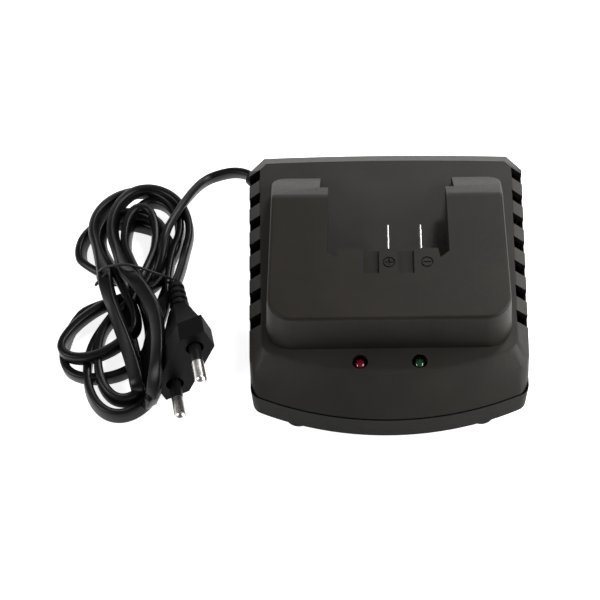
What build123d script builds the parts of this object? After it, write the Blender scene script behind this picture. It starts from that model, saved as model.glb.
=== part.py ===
from build123d import *
import math
import os

# A mains charger for slide-on power tool batteries. Millimetres. The origin is on the floor
# under the middle of the case, the indicator lamps are at the -Y end, and +X is their right.

# Case outline, seen from above: bowed front, sides that close in towards it, cut rear corners.
case_depth = 108.8
case_height = 38.0
side_half_width = 48.86
side_taper = 0.0431
front_radius = 112.5
front_corner_radius = 4.5
rear_cut_length = 7.5
rear_cut_width = 5.38
rear_bow = 0.9
back_y = case_depth / 2
front_y = -case_depth / 2
rear_cut_side_y = back_y - rear_cut_length
rear_half_width = side_half_width + side_taper * rear_cut_side_y
rear_cut_back_x = rear_half_width - rear_cut_width

# Heights of the case's levels.
foot_height = 1.1
parting_z = 12.5
wall_top_z = 17.8
deck_z = 22.0
wall = 2.2
lip_height = 1.0
lip_outer = 1.6
lip_gap = 0.15

# Sloping shoulders between the side walls and the deck.
side_slope_run = 4.25
back_slope_run = 5.9
front_slope_run = 13.0
deck_front_radius = front_radius - front_slope_run
front_slope_bottom = math.radians(48)
front_slope_top = math.radians(24)

# Vent slots through the side shoulders and the rear wall.
side_slots = 7
side_slot_pitch = 10.35
side_slot_width = 4.7
side_slot_first_y = -19.7
side_slot_bottom_z = 15.4
side_slot_wall = 1.0
rear_slots = 10
rear_slot_pitch = 8.6
rear_slot_width = 3.4
rear_slot_bottom_z = 14.6
rear_slot_top_z = wall_top_z + 0.15

# Battery cradle: a horseshoe with two arms and a lip along the inside of each.
cradle_base_half = side_half_width - 7.06
cradle_top_half = cradle_base_half - 1.5
cradle_base_front = front_y + 22.4
cradle_top_front = cradle_base_front + 1.8
cradle_front_radius = 9.0
cradle_arm_radius = 5.0
arm_end_y = back_y - 17.3
arm_end_z = case_height - 11.3
arm_break_y = arm_end_y - 9.9
arm_break_z = case_height - 3.9
arm_slope_y = arm_end_y - 16.6
groove_half = 23.7
lip_half = 20.65
lip_under_z = case_height - 7.0
lip_end_y = arm_break_y - 0.5
pad_wall_y = -2.3
cradle_roof = 2.6

# Contact pads: two shallow channels between a plain, a plus and a minus pad.
pad_edge_x = 16.75
channel_inner_x = 3.2
channel_outer_x = 8.6
channel_front_y = -12.3
channel_depth = 1.5
mark_y = -7.9
plus_mark_x = 0.1
minus_mark_x = 12.9
mark_radius = 2.1
mark_line = 0.4
mark_depth = 0.3

# Contact blades.
blade_x = {"positive_blade": 0.1, "negative_blade": 11.35}
blade_thickness = 0.6
blade_reach = 13.5
blade_bottom_z = case_height - 10.3
blade_top_z = case_height - 4.0
blade_tail_y = pad_wall_y - 5.2
blade_tail_half = 1.3

# Indicator lamps.
lamp_x = {"red_led": -9.95, "green_led": 9.95}
lamp_y = front_y + 17.3
lamp_hole_radius = 2.65
lamp_radius = 2.5
lamp_flange_radius = 2.9
lamp_flange_z = 12.6
lamp_top_z = 21.3

# Circuit board.
board_z = 7.0
board_thickness = 1.6
board_half = 34.5
board_front_y = front_y + 12.4
board_back_y = back_y - 15.4
board_corner_cut = 9.0
board_top_z = board_z + board_thickness
core_top_z = case_height - 9.4
core_half = 13.0
core_front_y = cradle_base_front + 6.0
core_back_y = pad_wall_y - 11.3
coil_half = 9.4
coil_overhang = 2.4
fuse_y = board_back_y - 6.0

# Screws, and the posts that they run in.
case_screw_front = (38.5, front_y + 17.9)
case_screw_rear = (40.0, back_y - 23.4)
case_screw_places = [(side * x, y) for x, y in (case_screw_front, case_screw_rear)
                     for side in (-1, 1)]
cradle_screw_places = [(side * 32.0, y) for y in (cradle_base_front + 10.0, arm_end_y - 17.1)
                       for side in (-1, 1)]
board_post_places = [(-31.0, 24.0), (31.0, 24.0), (-30.0, -27.0), (30.0, -27.0)]
board_screw_places = [board_post_places[0], board_post_places[3]]
foot_front = (31.3, front_y + 9.3)
foot_rear = (38.5, back_y - 11.4)
foot_places = [(side * x, y) for x, y in (foot_front, foot_rear) for side in (-1, 1)]
screw_radius = 1.45
screw_clearance_radius = 1.7
screw_head_radius = 2.8
screw_head_height = 2.0
tower_radius = 4.5
boss_radius = 4.0
foot_radius = 4.7

# Mains cord: flat two-core, drawn as a round tube of the same section.
cord_diameter = 4.2
exit_x = -(rear_half_width + rear_cut_back_x) / 2
exit_y = (rear_cut_side_y + back_y - rear_bow) / 2
exit_z = 8.0
relief_outside = 4.0
relief_inside = 16.0
relief_radius = 3.5
relief_flange = 4.4
wire_radius = 1.0
wire_spacing = 2.6

# Hank: the rest of the cord, wound in a figure of eight and tied at its waist.
upper_loop_middle = (-94.0, 27.0)
upper_loop_radii = (23.0, 22.0)
upper_loop_height = 14.0
lower_loop_middle = (-100.4, -25.5)
lower_loop_radii = (18.0, 24.0)
lower_loop_height = 11.0
waist_left_x = -103.5
waist_right_x = -83.0
waist_top_z = 13.0
tie_right_x = -72.6
tie_low_z = 1.2
tie_top_z = 14.6
tie_y = 2.6
tie_width = 2.0
tie_wire = 0.8

# Flat two-pin plug, lying on its edge beside the hank. Its pins point at the viewer.
plug_face = (-69.8, -32.1, 16.4)
plug_pin_row = (0.455, 0.273, 0.848)
plug_pin_way = (0.227, -0.956, 0.186)
plug_width = 35.3
plug_thickness = 12.4
plug_end_length = 6.05
pin_recess_depth = 3.2
pin_recess_radius = 3.0
plug_back_z = -4.5
plug_neck_z = -24.0
plug_neck_shift = -2.2
plug_relief_end_z = -36.5
pin_radius = 2.0
pin_core_radius = 1.5
pin_length = 19.0
pin_sleeve_length = 10.0
pin_offset = 9.2

bow_centre_y = front_radius - case_depth / 2
floor_top_z = foot_height + wall
ceiling_z = deck_z - wall

parts = {}


def block(x0, x1, y0, y1, z0, z1):
    """Box between two corners."""
    centre = ((x0 + x1) / 2, (y0 + y1) / 2, (z0 + z1) / 2)
    return Pos(*centre) * Box(x1 - x0, y1 - y0, z1 - z0)


def rod(x, y, z0, z1, radius):
    """Upright cylinder."""
    return Pos(x, y, (z0 + z1) / 2) * Cylinder(radius, z1 - z0)


def prism(points, z0, z1):
    """Upright prism over a closed outline of plan points."""
    return extrude(Pos(0, 0, z0) * make_face(Polyline(*points, close=True)), z1 - z0)


def side_prism(points, x0, x1):
    """Prism along X over a closed outline of (y, z) points."""
    outline = make_face(Polyline(*[(x0, y, z) for y, z in points], close=True))
    return extrude(outline, x1 - x0, dir=(1, 0, 0))


def side_x(y):
    """Half width of the case at y, at the parting line."""
    return side_half_width + side_taper * y


def front_corner():
    """Where the right side's line meets the bowed front."""
    a = 1 + side_taper**2
    b = 2 * (side_half_width * side_taper - bow_centre_y)
    c = side_half_width**2 + bow_centre_y**2 - front_radius**2
    y = (-b - math.sqrt(b * b - 4 * a * c)) / (2 * a)
    return side_x(y), y


def case_outline():
    """Plan outline of the case with rounded front corners."""
    x_front, y_front = front_corner()
    x_rear = side_x(rear_cut_side_y)
    rear_y = back_y - rear_bow
    with BuildSketch() as outline:
        with BuildLine():
            ThreePointArc((-x_front, y_front), (0, -back_y), (x_front, y_front))
            Polyline((x_front, y_front), (x_rear, rear_cut_side_y), (rear_cut_back_x, rear_y))
            ThreePointArc((rear_cut_back_x, rear_y), (0, back_y), (-rear_cut_back_x, rear_y))
            Polyline((-rear_cut_back_x, rear_y), (-x_rear, rear_cut_side_y), (-x_front, y_front))
        make_face()
        front_corners = outline.vertices().sort_by(Axis.Y)[:2]
        fillet(front_corners, front_corner_radius)
    return outline.sketch


def inset_outline(inset):
    """The case outline moved in by the same distance all round."""
    return offset(case_outline(), -inset, kind=Kind.INTERSECTION)


def shoulder_outline(inset, run_side, run_back, z):
    """Six-sided plan of the side and rear walls at one height; the bowed front is cut later."""
    past_y = front_y - 10
    side_rear = side_x(rear_cut_side_y) - inset - run_side
    side_front = side_x(past_y) - inset - run_side
    cut_y = rear_cut_side_y - inset * 0.45 - run_back * 0.3
    rear_x = rear_cut_back_x - inset * 0.45 - run_side * 0.35
    rear_y = back_y - rear_bow - inset - run_back * 0.88
    with BuildSketch(Plane.XY.offset(z)) as outline:
        with BuildLine():
            Polyline((-rear_x, rear_y), (-side_rear, cut_y), (-side_front, past_y),
                     (side_front, past_y), (side_rear, cut_y), (rear_x, rear_y))
            ThreePointArc((rear_x, rear_y), (0, rear_y + rear_bow), (-rear_x, rear_y))
        make_face()
    return outline.sketch


def bowed_front(inset):
    """Turned body whose rim is the convex slope from the parting line up to the deck."""
    ways = [front_slope_bottom, (front_slope_bottom + front_slope_top) / 2, front_slope_top]
    drop = deck_z - parting_z
    run = front_radius - deck_front_radius
    chord = math.hypot(run, drop)
    sagitta = chord / 2 * math.tan((front_slope_bottom - front_slope_top) / 4)
    middle = (front_radius - run / 2 + sagitta * math.sin(ways[1]),
              parting_z + drop / 2 + sagitta * math.cos(ways[1]))
    outer = [(front_radius, parting_z), middle, (deck_front_radius, deck_z)]
    rim = [(r - inset * math.sin(w), z - inset * math.cos(w)) for (r, z), w in zip(outer, ways)]
    (r0, z0), (r1, z1), (r2, z2) = rim
    arc = ThreePointArc((r0, 0, z0), (r1, 0, z1), (r2, 0, z2))
    rest = Polyline((r2, 0, z2), (0, 0, z2), (0, 0, z0), (r0, 0, z0))
    profile = make_face([arc, rest])
    return Pos(0, bow_centre_y, 0) * revolve(profile, Axis.Z, 360)


def cover_form(inset):
    """Solid form of the cover above the parting line, moved in by inset."""
    shoulder_z = wall_top_z - inset * 0.45
    top_z = deck_z - inset
    lower = Pos(0, 0, parting_z) * extrude(inset_outline(inset) if inset else case_outline(),
                                           shoulder_z - parting_z)
    shoulder = loft([shoulder_outline(inset, 0, 0, shoulder_z),
                     shoulder_outline(inset * 1.3, side_slope_run - inset * 0.6,
                                      back_slope_run - inset * 0.7, top_z)], ruled=True)
    form = lower + shoulder
    return form & bowed_front(inset)


def exit_frame():
    """Plane on the cut rear-left corner: z points out along the cord."""
    x_rear = side_x(rear_cut_side_y)
    along = Vector(x_rear - rear_cut_back_x, back_y - rear_bow - rear_cut_side_y, 0)
    outward = Vector(-along.Y, along.X, 0).normalized()
    return Plane(origin=(exit_x, exit_y, exit_z), x_dir=(0, 0, 1), z_dir=outward)


def exit_rod(radius, start, end):
    """Cylinder along the cord's exit axis."""
    return exit_frame() * Pos(0, 0, (start + end) / 2) * Cylinder(radius, end - start)


def exit_block(half_width, low_z, high_z, start, end):
    """Box along the exit axis, half_width to each side of it."""
    return exit_frame() * Pos((low_z + high_z) / 2 - exit_z, 0, (start + end) / 2) * Box(
        high_z - low_z, 2 * half_width, end - start)


# Lower half of the case: a tub with screw towers, board posts and the cord's saddle.
def bottom_shell():
    edge_break = 0.5
    counterbore = 4.0
    tub = Pos(0, 0, foot_height) * extrude(case_outline(), parting_z - foot_height)
    tub = chamfer(tub.edges().group_by(Axis.Z)[0], edge_break)
    lip = Pos(0, 0, parting_z) * extrude(inset_outline(lip_outer), lip_height)
    shell = tub + lip
    inside = Pos(0, 0, floor_top_z) * extrude(inset_outline(wall), case_height)
    shell -= inside
    for x, y in case_screw_places:
        shell += rod(x, y, floor_top_z, parting_z, tower_radius)
    for x, y in board_post_places:
        shell += rod(x, y, floor_top_z, board_z, boss_radius - 0.5)
    shell += exit_block(7.5, floor_top_z, exit_z, -14, -9)
    for x, y in case_screw_places:
        shell -= rod(x, y, foot_height, foot_height + counterbore, screw_head_radius + 0.4)
        shell -= rod(x, y, foot_height, parting_z, screw_clearance_radius)
    for x, y in board_screw_places:
        shell -= rod(x, y, floor_top_z, board_z, screw_radius)
    shell -= exit_rod(relief_radius, -relief_inside, -wall)
    shell -= exit_rod(4.0, -wall - 1, 1)
    shell -= exit_block(relief_flange, exit_z - relief_flange, parting_z, -wall - 1.2, -wall)
    shell -= exit_block(4.0, exit_z, parting_z + lip_height, -wall - 1, 1)
    for side in (-1, 1):
        shell -= exit_frame() * Pos(0, side * 5.4, -11.5) * Rot(0, 90, 0) * Cylinder(1.0, 8)
    return shell


# Upper half: deck with lamp holes, sloping shoulders and the vents through them.
def top_cover():
    shadow_line = 0.8
    shadow_depth = 1.0
    cover = cover_form(0) - cover_form(wall)
    cover -= Pos(0, 0, parting_z - 1) * extrude(inset_outline(wall), 1.5)
    cover -= Pos(0, 0, parting_z) * extrude(inset_outline(lip_outer - lip_gap), lip_height + lip_gap)
    seam = extrude(case_outline(), shadow_line) - extrude(inset_outline(shadow_depth), shadow_line)
    cover -= Pos(0, 0, parting_z) * seam
    for x, y in case_screw_places:
        cover += rod(x, y, parting_z, ceiling_z, boss_radius) & cover_form(0.5)
        cover -= rod(x, y, parting_z, parting_z + 5, screw_radius)
    for index in range(side_slots):
        y = side_slot_first_y + side_slot_pitch * index
        inner = side_x(y) - side_slope_run - 0.1
        for side in (-1, 1):
            cover -= block(*sorted((side * inner, side * 60)), y - side_slot_width / 2,
                           y + side_slot_width / 2, side_slot_bottom_z, deck_z + 1)
            thin = side_x(y) - side_slot_wall
            cover -= block(*sorted((side * inner, side * thin)), y - side_slot_width / 2,
                           y + side_slot_width / 2, parting_z + 1.8, side_slot_bottom_z + 1)
    for index in range(rear_slots):
        x = (index - (rear_slots - 1) / 2) * rear_slot_pitch
        cover -= block(x - rear_slot_width / 2, x + rear_slot_width / 2,
                       back_y - wall - 2, back_y + 1, rear_slot_bottom_z, rear_slot_top_z)
    for x in lamp_x.values():
        cover -= rod(x, lamp_y, ceiling_z - 1, deck_z + 1, lamp_hole_radius)
    cover -= block(-core_half - 2.5, core_half + 2.5, cradle_base_front + 3, core_back_y + 2.8,
                   ceiling_z - 1, deck_z + 1)
    for x in blade_x.values():
        cover -= block(x - 0.9, x + 0.9, blade_tail_y - 1.7, blade_tail_y + 1.7,
                       ceiling_z - 1, deck_z + 1)
    for x, y in cradle_screw_places:
        cover -= rod(x, y, ceiling_z - 1, deck_z + 1, screw_clearance_radius)
    return cover


def rounded_plan(half, front, corner, z):
    """Plan of the cradle at one height: big front corners, smaller ones at the arms' ends."""
    with BuildSketch(Plane.XY.offset(z)) as plan:
        with Locations((0, (front + arm_end_y) / 2)):
            Rectangle(2 * half, arm_end_y - front)
        fillet(plan.vertices().sort_by(Axis.Y)[:2], corner)
        fillet(plan.vertices().sort_by(Axis.Y)[-2:], cradle_arm_radius)
    return plan.sketch


def cradle_form(inset):
    """Solid horseshoe block before its notch is cut, moved in by inset."""
    base = rounded_plan(cradle_base_half - inset, cradle_base_front + inset,
                        cradle_front_radius - inset / 2, deck_z)
    top = rounded_plan(cradle_top_half - inset, cradle_top_front + inset,
                       cradle_front_radius - 0.5 - inset / 2, case_height)
    form = loft([base, top], ruled=True)
    slope = [(arm_slope_y - inset * 0.3, case_height - inset),
             (arm_break_y - inset * 0.55, arm_break_z - inset * 0.85),
             (arm_end_y - inset * 0.6, arm_end_z - inset * 0.8),
             (arm_end_y + 5, arm_end_z - inset * 0.8), (arm_end_y + 5, case_height + 5),
             (arm_slope_y - inset * 0.3, case_height + 5)]
    form -= side_prism(slope, -60, 60)
    if inset:
        form -= block(-60, 60, -60, 60, case_height - cradle_roof, case_height + 5)
        form -= block(-60, 60, arm_end_y - inset, arm_end_y + 5, deck_z, case_height)
    return form


def polarity_mark(x, upright):
    """Engraving tool for a ringed plus or minus."""
    low = case_height - mark_depth
    ring = rod(x, mark_y, low, case_height + 1, mark_radius)
    ring -= rod(x, mark_y, low, case_height + 1, mark_radius - mark_line)
    arm = mark_radius - mark_line * 2
    mark = ring + block(x - arm, x + arm, mark_y - mark_line / 2, mark_y + mark_line / 2,
                        low, case_height + 1)
    if upright:
        mark += block(x - mark_line / 2, x + mark_line / 2, mark_y - arm, mark_y + arm,
                      low, case_height + 1)
    return mark


# Battery cradle: a hollow horseshoe moulding that stands on the cover's deck.
def battery_cradle():
    window_half = 14.8
    cradle = cradle_form(0)
    hollow = cradle_form(wall)
    hollow -= block(-groove_half - wall, groove_half + wall, pad_wall_y - wall, 60,
                    deck_z - 1, case_height)
    cradle -= hollow
    cradle -= block(-groove_half, groove_half, pad_wall_y, 60, deck_z - 1, lip_under_z)
    cradle -= block(-lip_half, lip_half, pad_wall_y, 60, lip_under_z - 1, case_height + 1)
    cradle -= block(-groove_half, groove_half, lip_end_y, 60, lip_under_z - 1, case_height + 1)
    for side in (-1, 1):
        relief = [(side * lip_half, pad_wall_y - 1.1), (side * 17.5, pad_wall_y - 3.9),
                  (side * 16.7, pad_wall_y + 1), (side * lip_half, pad_wall_y + 1)]
        cradle -= prism(relief, lip_under_z, case_height + 1)
        channel = sorted((side * channel_inner_x, side * channel_outer_x))
        cradle -= block(*channel, channel_front_y, pad_wall_y + 1,
                        case_height - channel_depth, case_height + 1)
    cradle -= block(-window_half, window_half, pad_wall_y - wall - 1, pad_wall_y + 1,
                    deck_z - 1, case_height - cradle_roof)
    for x, y in cradle_screw_places:
        cradle += rod(x, y, deck_z, case_height - cradle_roof, 3.0)
        cradle -= rod(x, y, deck_z, deck_z + 8.2, screw_radius)
    cradle -= polarity_mark(plus_mark_x, True)
    cradle -= polarity_mark(minus_mark_x, False)
    return cradle


# Insulating block behind the pads. It holds the two blades and closes the cradle's window.
def terminal_block():
    tongue = block(-14.8, 14.8, pad_wall_y - wall, pad_wall_y, deck_z, case_height - cradle_roof)
    body = block(-16.0, 16.0, pad_wall_y - 8.2, pad_wall_y - wall, deck_z,
                 case_height - cradle_roof)
    holder = tongue + body
    for name in blade_x:
        holder -= blade(name)
    return holder


# One flat contact blade with its tail bent down to the board.
def blade(name):
    x0 = blade_x[name] - blade_thickness / 2
    tail_front = blade_tail_y - blade_tail_half
    tail_back = blade_tail_y + blade_tail_half
    outline = [(pad_wall_y + blade_reach, blade_bottom_z), (pad_wall_y + blade_reach, blade_top_z - 1),
               (pad_wall_y + blade_reach - 1, blade_top_z), (tail_front, blade_top_z),
               (tail_front, board_z), (tail_back, board_z), (tail_back, blade_bottom_z)]
    return side_prism(outline, x0, x0 + blade_thickness)


# Printed circuit board with holes for its screws and the blades' tails.
def circuit_board():
    cut = board_corner_cut
    outline = [(-board_half, board_back_y), (-board_half, board_front_y + cut),
               (-board_half + cut, board_front_y), (board_half - cut, board_front_y),
               (board_half, board_front_y + cut), (board_half, board_back_y)]
    board = prism(outline, board_z, board_top_z)
    for x, y in board_screw_places:
        board -= rod(x, y, board_z, board_top_z, screw_radius)
    for name in blade_x:
        board -= blade(name)
    return board


# Ferrite core of the transformer: three legs between two end plates.
def transformer_core():
    bottom_z = board_top_z + 2.0
    core = block(-core_half, core_half, core_front_y, core_back_y, bottom_z, core_top_z)
    for x in (-6.5, 6.5):
        core -= block(x - 3, x + 3, core_front_y - 1, core_back_y + 1, bottom_z + 3, core_top_z - 3)
    return core


# Coil former and windings around the middle leg, with feet on the board.
def transformer_winding():
    low_z = board_top_z + 5.1
    front, back = core_front_y - coil_overhang, core_back_y + coil_overhang
    coil = block(-coil_half, coil_half, front, back, low_z, core_top_z - 3.1)
    coil -= block(-3.5, 3.5, core_front_y, core_back_y, low_z - 1, core_top_z)
    for y in (front, back - 2):
        coil += block(-coil_half, coil_half, y, y + 2, board_top_z, low_z)
    return coil


# Common-mode choke: a wound ring on its own small base.
def mains_choke():
    ring = rod(10, 23, board_top_z + 1.2, board_top_z + 8.2, 8.0)
    ring -= rod(10, 23, board_top_z + 1.2, board_top_z + 8.2, 3.6)
    return ring + block(4, 16, 17, 29, board_top_z, board_top_z + 1.2)


def filter_capacitor():
    return block(-26, -8, 18.3, 25.7, board_top_z, board_top_z + 10.4)


# Electrolytic can lying on its side.
def bulk_capacitor():
    return Pos(-20, 8, board_top_z + 5) * Rot(0, 90, 0) * Cylinder(5.0, 16.0)


def output_capacitor():
    return rod(26, 6, board_top_z, board_top_z + 10.4, 5.0)


def bridge_rectifier():
    y = board_back_y - 4.8
    return block(21.8, 30.2, y - 3.2, y + 3.2, board_top_z, board_top_z + 3.4)


# Folded aluminium plate standing on the board.
def heatsink():
    plate = block(-32.2, -30.7, -18, 2, board_top_z, board_top_z + 10.2)
    for y in (-18, 0.5):
        plate += block(-30.7, -25.5, y, y + 1.5, board_top_z, board_top_z + 10.2)
    return plate


# Switching transistor, its flat back against the heatsink.
def power_transistor():
    body = block(-30.7, -26.2, -13, -3, board_top_z + 1.5, board_top_z + 10)
    for step in (-1, 0, 1):
        y = -8 + 2.54 * step
        body += block(-29.0, -28.4, y - 0.4, y + 0.4, board_top_z, board_top_z + 1.5)
    return body


def output_diode():
    return Pos(20, -4, board_top_z + 2.65) * Rot(90, 0, 0) * Cylinder(2.65, 9.5)


# Glass fuse in two spring clips.
def fuse():
    return Pos(-6, fuse_y, board_top_z + 3.6) * Rot(0, 90, 0) * Cylinder(2.6, 20.0)


def fuse_clips():
    clips = None
    for x in (-13.5, 1.5):
        clip = block(x - 2, x + 2, fuse_y - 3.2, fuse_y + 3.2, board_top_z, board_top_z + 6.4)
        clips = clip if clips is None else clips + clip
    clips += block(-13.5, 1.5, fuse_y - 1, fuse_y + 1, board_top_z, board_top_z + 0.6)
    return clips - fuse()


def control_chip():
    return block(-8.2, 1.6, -0.2, 6.2, board_top_z, board_top_z + 3.5)


def optocoupler():
    return block(10.0, 14.6, -0.2, 6.3, board_top_z, board_top_z + 3.5)


# Round lamp with a domed top and a flange at its foot.
def lamp(name):
    x = lamp_x[name]
    dome_z = lamp_top_z - lamp_radius
    body = rod(x, lamp_y, lamp_flange_z, dome_z, lamp_radius)
    body += Pos(x, lamp_y, dome_z) * Sphere(lamp_radius)
    return body + rod(x, lamp_y, lamp_flange_z, lamp_flange_z + 1, lamp_flange_radius)


# Tube that holds a lamp up from the board.
def lamp_spacer(name):
    x = lamp_x[name]
    spacer = rod(x, lamp_y, board_top_z, lamp_flange_z, 3.4)
    return spacer - rod(x, lamp_y, board_top_z, lamp_flange_z, 1.6)


# Moulded strain relief on the cord: a neck in the wall's slot, a flange each side, a short nub.
def cord_strain_relief():
    relief = exit_rod(relief_radius, -relief_inside, 0)
    relief += exit_rod(4.0, -wall, 0)
    relief += exit_block(4.0, exit_z, parting_z, -wall, 0)
    relief += exit_block(relief_flange, exit_z - relief_flange, parting_z, -wall - 1.2, -wall)
    nub = Cone(relief_radius + 0.3, relief_radius - 0.4, relief_outside)
    return relief + exit_frame() * Pos(0, 0, relief_outside / 2) * nub


# Bar that clamps the relief down on the saddle of the lower shell.
def cord_clamp():
    bar = exit_block(7.5, exit_z, exit_z + 4.6, -14, -9)
    bar -= exit_rod(relief_radius, -relief_inside, -wall)
    for side in (-1, 1):
        bar -= exit_frame() * Pos(0, side * 5.4, -11.5) * Rot(0, 90, 0) * Cylinder(1.0, 20)
    return bar


def clamp_screw(side):
    shank = Pos(1.3, side * 5.4, -11.5) * Rot(0, 90, 0) * Cylinder(1.0, 6.6)
    head = Pos(5.3, side * 5.4, -11.5) * Rot(0, 90, 0) * Cylinder(2.0, 1.4)
    return exit_frame() * (shank + head)


# Insulated wire from the relief's inner end, up and over on to the board.
def mains_wire(side):
    frame = exit_frame()
    across = side * wire_spacing / 2
    start_z = 2.0
    over_z = 6.0
    local = [(start_z, -relief_inside), (start_z, -relief_inside - 2.5),
             (over_z, -relief_inside - 4.5),
             (over_z, -relief_inside - 8.0), (board_top_z - exit_z, -relief_inside - 8.0)]
    points = [frame.from_local_coords(Vector(up, across, along)) for up, along in local]
    path = FilletPolyline(*points, radius=[1.2, 1.2, 1.6])
    section = Plane(origin=path @ 0, z_dir=path % 0) * Circle(wire_radius)
    return sweep(section, path)


def cap_screw(x, y, bearing_z, tip_z):
    """Pan-head screw with a cross recess. Its head is on the far side of bearing_z from the tip."""
    way = 1 if tip_z > bearing_z else -1
    head_end = bearing_z - way * screw_head_height
    shank = rod(x, y, *sorted((bearing_z, tip_z)), screw_radius)
    head = rod(x, y, *sorted((bearing_z, head_end)), screw_head_radius)
    slot = sorted((head_end, head_end + way))
    head -= block(x - 1.6, x + 1.6, y - 0.35, y + 0.35, *slot)
    head -= block(x - 0.35, x + 0.35, y - 1.6, y + 1.6, *slot)
    return shank + head


# Free stretch of cord between the strain relief and the hank.
cord_lead_in = 6.0
cord_route = [(-61.2, 57.6, 6.3), (-65.6, 56.4, 4.0), (-69.4, 52.8, 2.9),
              (-73.0, 47.6, 2.7), (-76.4, 41.0, 2.7)]


def power_cord():
    frame = exit_frame()
    start = frame.from_local_coords(Vector(0, 0, relief_outside))
    first = frame.from_local_coords(Vector(0, 0, relief_outside + cord_lead_in))
    points = [start, first] + [Vector(*point) for point in cord_route]
    radii = []
    for before, here, after in zip(points, points[1:], points[2:]):
        turn = math.radians((here - before).get_angle(after - here))
        shorter = min((here - before).length, (after - here).length)
        radii.append(0.45 * shorter / math.tan(turn / 2))
    path = FilletPolyline(*points, radius=radii)
    section = Plane(origin=path @ 0, z_dir=path % 0) * Circle(cord_diameter / 2)
    tube = sweep(section, path)
    expected = math.pi * cord_diameter**2 / 4 * path.length
    print("cord radii", [round(radius, 1) for radius in radii])
    print("cord volume", round(tube.volume), "section x length", round(expected))
    return tube


# Outer form of the coiled cord: a wide loop, a tied waist and a second loop.
def cord_hank():
    upper = Pos(*upper_loop_middle, 0) * extrude(Ellipse(*upper_loop_radii), upper_loop_height)
    upper = fillet(upper.edges().group_by(Axis.Z)[-1], 4.0)
    lower = Pos(*lower_loop_middle, 0) * extrude(Ellipse(*lower_loop_radii), lower_loop_height)
    lower = fillet(lower.edges().group_by(Axis.Z)[-1], 3.0)
    waist = block(waist_left_x, waist_right_x, -12.0, 14.0, tie_low_z, waist_top_z)
    return upper + lower + waist


# Wire tie round the waist of the hank and the plug's strain relief.
def hank_tie():
    low_x, high_x = waist_left_x - tie_wire, tie_right_x + tie_wire
    low_z, high_z = tie_low_z - tie_wire, tie_top_z + tie_wire
    front, back = tie_y - tie_width / 2, tie_y + tie_width / 2
    loop = block(low_x, high_x, front, back, low_z, high_z)
    return loop - block(waist_left_x, tie_right_x, front, back, tie_low_z, tie_top_z)


def plug_frame():
    return Plane(origin=plug_face, x_dir=plug_pin_row, z_dir=plug_pin_way)


def plug_section(width, thickness, end_length, shift, z):
    """Six-sided section of the plug, moved sideways by shift."""
    flat = width / 2 - end_length
    half = thickness / 2
    points = [(-width / 2, 0), (-flat, -half), (flat, -half),
              (width / 2, 0), (flat, half), (-flat, half)]
    return Pos(0, shift, z) * make_face(Polyline(*points, close=True))


# Flat moulded plug with a six-sided face; behind its rim it narrows to a bent neck.
def plug_body():
    rim = plug_section(plug_width, plug_thickness, plug_end_length, 0, plug_back_z)
    body = extrude(rim, pin_recess_depth - plug_back_z)
    body += loft([plug_section(plug_width - 2.4, plug_thickness - 1.6, plug_end_length, 0,
                               plug_back_z),
                  plug_section(9.0, 7.0, 2.5, plug_neck_shift, plug_neck_z)], ruled=True)
    for side in (-1, 1):
        body -= Pos(side * pin_offset, 0, -3) * Cylinder(pin_core_radius, 6)
        body -= Pos(side * pin_offset, 0, pin_recess_depth / 2) * Cylinder(
            pin_recess_radius, pin_recess_depth)
    return plug_frame() * body


# Ribbed sleeve behind the plug.
def plug_strain_relief():
    length = plug_neck_z - plug_relief_end_z
    middle = (plug_neck_z + plug_relief_end_z) / 2
    sleeve = Pos(0, plug_neck_shift, middle) * Cone(2.5, 3.0, length)
    for rib in range(4):
        z = plug_neck_z - 1.8 - 2.9 * rib
        sleeve += Pos(0, plug_neck_shift, z) * Cylinder(3.4 - 0.15 * rib, 1.5)
    return plug_frame() * sleeve


# Brass pin: a thin core in the plug and sleeve, and the full-size bare end.
def plug_pin(side):
    core = Pos(0, 0, (pin_sleeve_length - 6) / 2) * Cylinder(pin_core_radius,
                                                             pin_sleeve_length + 6)
    bare = pin_length - pin_sleeve_length - pin_radius
    tip = Pos(0, 0, pin_sleeve_length + bare / 2) * Cylinder(pin_radius, bare)
    dome = Pos(0, 0, pin_length - pin_radius) * Sphere(pin_radius)
    return plug_frame() * Pos(side * pin_offset, 0, 0) * (core + tip + dome)


def pin_sleeve(side):
    tube = Pos(0, 0, pin_sleeve_length / 2) * Cylinder(pin_radius, pin_sleeve_length)
    tube -= Pos(0, 0, pin_sleeve_length / 2) * Cylinder(pin_core_radius, pin_sleeve_length)
    return plug_frame() * Pos(side * pin_offset, 0, 0) * tube


for piece in (bottom_shell, top_cover, battery_cradle, terminal_block, circuit_board,
              transformer_core, transformer_winding, mains_choke, filter_capacitor,
              bulk_capacitor, output_capacitor, bridge_rectifier, heatsink, power_transistor,
              output_diode, fuse, fuse_clips, control_chip, optocoupler, cord_strain_relief,
              cord_clamp, power_cord, cord_hank, hank_tie, plug_body, plug_strain_relief):
    parts[piece.__name__] = piece()

for name in blade_x:
    parts[name] = blade(name)

for name in lamp_x:
    parts[name] = lamp(name)
    parts[name + "_spacer"] = lamp_spacer(name)

for number, side in enumerate((-1, 1), 1):
    parts[f"clamp_screw_{number}"] = clamp_screw(side)
    parts[f"mains_wire_{number}"] = mains_wire(side)
    parts[f"plug_pin_{number}"] = plug_pin(side)
    parts[f"pin_sleeve_{number}"] = pin_sleeve(side)

for number, (x, y) in enumerate(case_screw_places, 1):
    parts[f"case_screw_{number}"] = cap_screw(x, y, foot_height + 4.0, parting_z + 5.0)

for number, (x, y) in enumerate(cradle_screw_places, 1):
    parts[f"cradle_screw_{number}"] = cap_screw(x, y, ceiling_z, deck_z + 8.0)

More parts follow.
